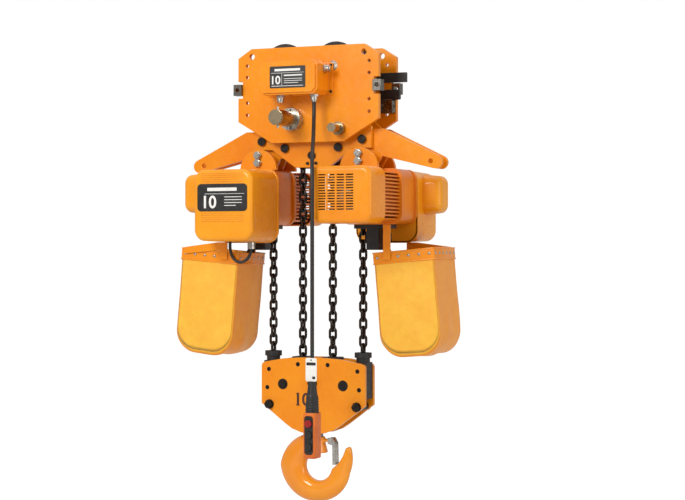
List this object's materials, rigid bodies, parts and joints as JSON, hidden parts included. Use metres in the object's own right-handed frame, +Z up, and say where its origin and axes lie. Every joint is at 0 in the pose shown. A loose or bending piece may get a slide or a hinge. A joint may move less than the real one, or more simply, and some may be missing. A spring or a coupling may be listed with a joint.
{
  "type": "electric chain hoist",
  "caption": "Twin-body electric chain hoist on a powered beam trolley, with a shared hook block on four chain falls, two chain bags and a push-button pendant.",
  "frame": {"origin": "middle of the four wheels, at the height where their treads stand on the beam flange", "axes": "+X along the beam, +Z up, -Y is the side with the control box and the pendant"},
  "size_m": [1.084, 0.774, 1.8204],
  "materials": {
    "orange_paint": "gloss enamel",
    "dark_steel": "blackened",
    "plated_shaft": "yellow zinc",
    "zinc": "bright zinc",
    "chain_black": "oiled black",
    "bag_fabric": "coated canvas",
    "black_plastic": "moulded",
    "black_rubber": "matte",
    "orange_plastic": "moulded",
    "red_plastic": "moulded",
    "steel": "machined"
  },
  "bodies": {
    "trolley": {"front_plate": "orange_paint", "rear_plate": "orange_paint", "wheel_axles": "zinc", "travel_gearbox": "orange_paint", "travel_motor": "orange_paint", "load_shaft": "plated_shaft", "shaft_washers": "plated_shaft", "tie_shaft": "plated_shaft", "guide_blocks": "zinc", "rubber_buffer": "black_rubber", "limit_switch": "black_plastic", "control_box": "orange_paint", "box_lid": "orange_paint", "box_screws": "zinc", "cable_glands": "black_plastic", "contactors": "black_plastic", "nameplates": "black_plastic", "suspension_plates": "orange_paint", "hanger_arms": "orange_paint", "suspension_pins": "dark_steel", "chain_anchors": "dark_steel", "hoist_ears": "orange_paint", "ear_studs": "zinc", "gearcases": "orange_paint", "motor_housings": "orange_paint", "fan_covers": "orange_paint", "control_covers": "orange_paint", "chain_guides": "dark_steel", "slack_chains": "chain_black", "control_lead": "black_rubber", "bag_hangers": "orange_paint", "left_bag": "bag_fabric", "right_bag": "bag_fabric", "bag_rims": "orange_paint", "pendant_cable": "black_rubber", "pendant_boot": "black_rubber", "pendant_case": "orange_plastic"},
    "front_left_wheel": {"front_left_wheel": "dark_steel"},
    "front_right_wheel": {"front_right_wheel": "dark_steel"},
    "rear_left_wheel": {"rear_left_wheel": "dark_steel"},
    "rear_right_wheel": {"rear_right_wheel": "dark_steel"},
    "drive_pinion": {"drive_pinion": "steel"},
    "left_rotor": {"left_rotor": "steel"},
    "right_rotor": {"right_rotor": "steel"},
    "left_load_sheave": {"left_load_sheave": "dark_steel"},
    "right_load_sheave": {"right_load_sheave": "dark_steel"},
    "hook_block": {"block_front": "orange_paint", "block_rear": "orange_paint", "block_bolts": "dark_steel", "chain_bumpers": "black_rubber", "dead_falls": "chain_black", "live_falls": "chain_black"},
    "left_block_sheave": {"left_block_sheave": "dark_steel"},
    "right_block_sheave": {"right_block_sheave": "dark_steel"},
    "crosshead": {"crosshead": "dark_steel"},
    "hook": {"hook": "orange_paint"},
    "latch": {"latch": "zinc"},
    "stop_button": {"stop_button": "red_plastic"},
    "up_button": {"up_button": "black_plastic"},
    "down_button": {"down_button": "black_plastic"}
  },
  "joints": [
    {"name": "front_left_wheel_spin", "type": "hinge", "parent": "trolley", "child": "front_left_wheel", "pos_m": [-0.11, 0, 0.075], "axis": [0, 1, 0], "continuous": true},
    {"name": "front_right_wheel_spin", "type": "hinge", "parent": "trolley", "child": "front_right_wheel", "pos_m": [0.11, 0, 0.075], "axis": [0, 1, 0], "continuous": true},
    {"name": "rear_left_wheel_spin", "type": "hinge", "parent": "trolley", "child": "rear_left_wheel", "pos_m": [-0.11, 0, 0.075], "axis": [0, 1, 0], "continuous": true},
    {"name": "rear_right_wheel_spin", "type": "hinge", "parent": "trolley", "child": "rear_right_wheel", "pos_m": [0.11, 0, 0.075], "axis": [0, 1, 0], "continuous": true},
    {"name": "drive_pinion_spin", "type": "hinge", "parent": "trolley", "child": "drive_pinion", "pos_m": [0, 0, 0.01563], "axis": [0, 1, 0], "continuous": true},
    {"name": "left_rotor_spin", "type": "hinge", "parent": "trolley", "child": "left_rotor", "pos_m": [-0.248, 0, -0.437], "axis": [0, 1, 0], "continuous": true},
    {"name": "right_rotor_spin", "type": "hinge", "parent": "trolley", "child": "right_rotor", "pos_m": [0.248, 0, -0.437], "axis": [0, 1, 0], "continuous": true},
    {"name": "hook_lift", "type": "slide", "parent": "trolley", "child": "hook_block", "axis": [0, 0, 1], "range_m": [0, 0.1], "deforming": ["dead_falls", "live_falls"]},
    {"name": "left_load_sheave_spin", "type": "hinge", "parent": "trolley", "child": "left_load_sheave", "pos_m": [-0.248, 0, -0.437], "axis": [0, 1, 0], "continuous": true},
    {"name": "right_load_sheave_spin", "type": "hinge", "parent": "trolley", "child": "right_load_sheave", "pos_m": [0.248, 0, -0.437], "axis": [0, 1, 0], "continuous": true},
    {"name": "left_block_sheave_spin", "type": "hinge", "parent": "hook_block", "child": "left_block_sheave", "pos_m": [-0.131, 0, -1.18], "axis": [0, 1, 0], "continuous": true},
    {"name": "right_block_sheave_spin", "type": "hinge", "parent": "hook_block", "child": "right_block_sheave", "pos_m": [0.131, 0, -1.18], "axis": [0, 1, 0], "continuous": true},
    {"name": "hook_tilt", "type": "hinge", "parent": "hook_block", "child": "crosshead", "pos_m": [0, 0, -1.323], "axis": [0, 1, 0], "range_deg": [-8, 8]},
    {"name": "hook_swivel", "type": "hinge", "parent": "crosshead", "child": "hook", "pos_m": [0, 0, -1.4], "axis": [0, 0, 1], "continuous": true},
    {"name": "latch_hinge", "type": "hinge", "parent": "hook", "child": "latch", "pos_m": [0.06, 0, -1.402], "axis": [0, 1, 0], "range_deg": [0, 30], "stiffness_Nm_per_rad": 0.5},
    {"name": "stop_button_push", "type": "slide", "parent": "trolley", "child": "stop_button", "axis": [0, 1, 0], "range_m": [0, 0.005], "stiffness_N_per_m": 300},
    {"name": "up_button_push", "type": "slide", "parent": "trolley", "child": "up_button", "axis": [0, 1, 0], "range_m": [0, 0.005], "stiffness_N_per_m": 300},
    {"name": "down_button_push", "type": "slide", "parent": "trolley", "child": "down_button", "axis": [0, 1, 0], "range_m": [0, 0.005], "stiffness_N_per_m": 300}
  ],
  "couplings": [
    {"joint": "left_load_sheave_spin", "follows": "hook_lift", "rad_per_m": -38.835},
    {"joint": "right_load_sheave_spin", "follows": "hook_lift", "rad_per_m": 38.835},
    {"joint": "left_block_sheave_spin", "follows": "hook_lift", "rad_per_m": 15.267},
    {"joint": "right_block_sheave_spin", "follows": "hook_lift", "rad_per_m": -15.267},
    {"joint": "rear_right_wheel_spin", "follows": "rear_left_wheel_spin", "ratio": 1},
    {"joint": "drive_pinion_spin", "follows": "rear_left_wheel_spin", "ratio": -3.1667}
  ]
}
